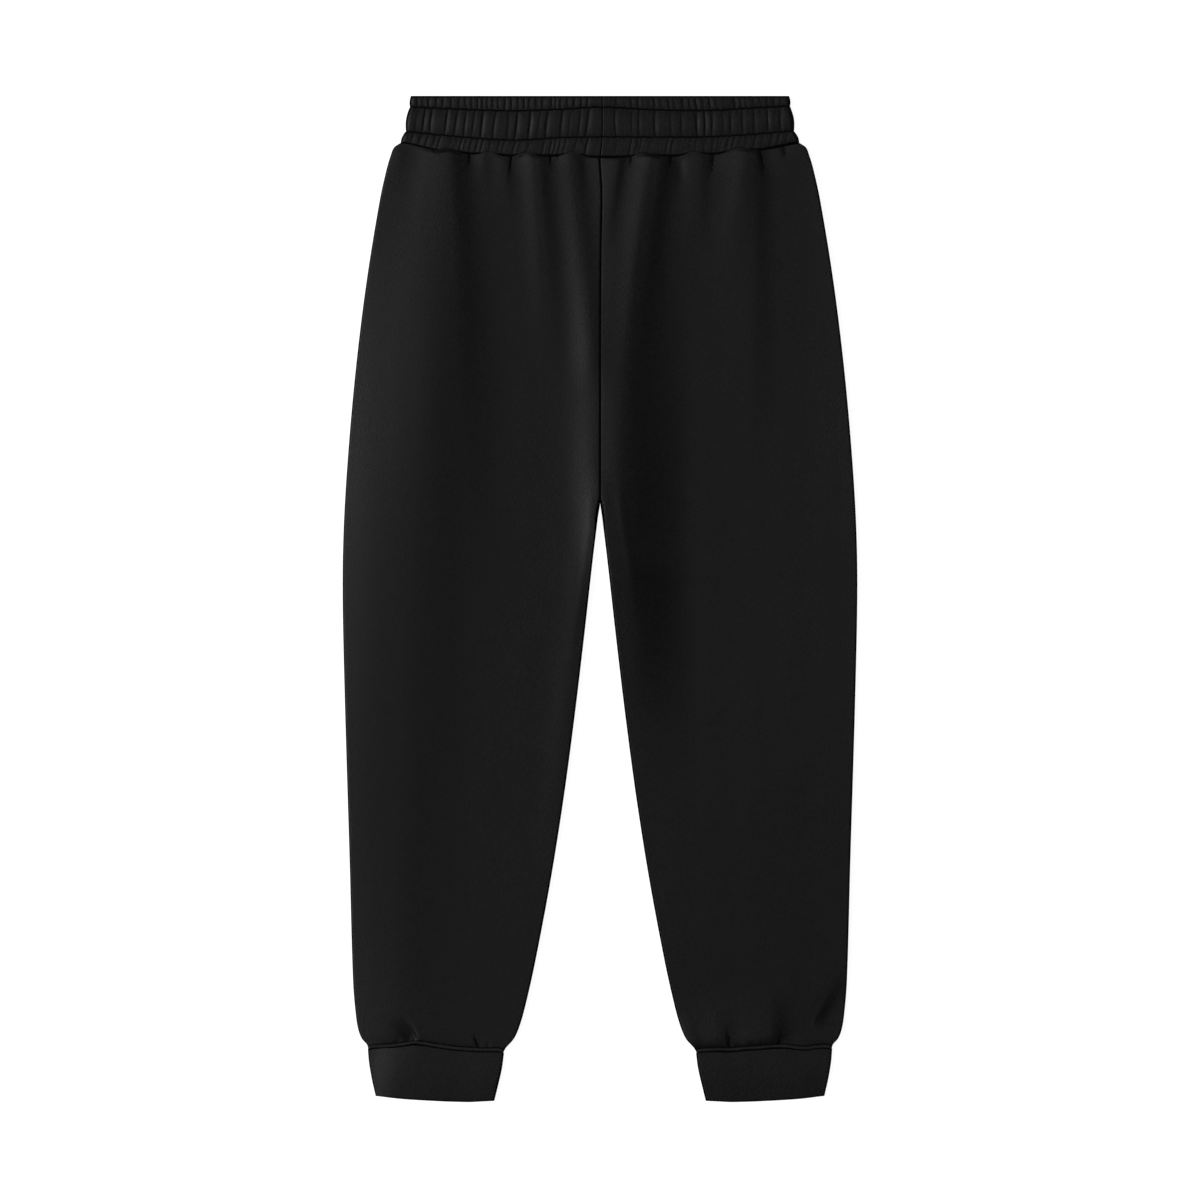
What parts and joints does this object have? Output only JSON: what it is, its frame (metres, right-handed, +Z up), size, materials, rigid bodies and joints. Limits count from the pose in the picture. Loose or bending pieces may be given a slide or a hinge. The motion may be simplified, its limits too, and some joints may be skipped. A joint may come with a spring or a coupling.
{
  "type": "jogger sweatpants",
  "caption": "Plain black jogger sweatpants laid flat, back up: gathered elastic waistband, full legs that taper to narrow doubled cuffs.",
  "frame": {"origin": "under the middle of the garment, on the surface that it lies on", "axes": "+Y from the cuffs to the waist, +X to the right of someone looking down on the back, +Z up from the surface"},
  "size_m": [0.5132, 1.006, 0.0113],
  "materials": {
    "leg_knit": "matte brushed-back knit, faint nap",
    "waistband_knit": "matte knit gathered on elastic",
    "cuff_knit": "matte knit, doubled and pressed"
  },
  "bodies": {
    "root": {"waistband": "waistband_knit", "back_leg_left": "leg_knit", "back_leg_right": "leg_knit", "front_leg_left": "leg_knit", "front_leg_right": "leg_knit", "cuff_left": "cuff_knit", "cuff_right": "cuff_knit"}
  },
  "joints": []
}
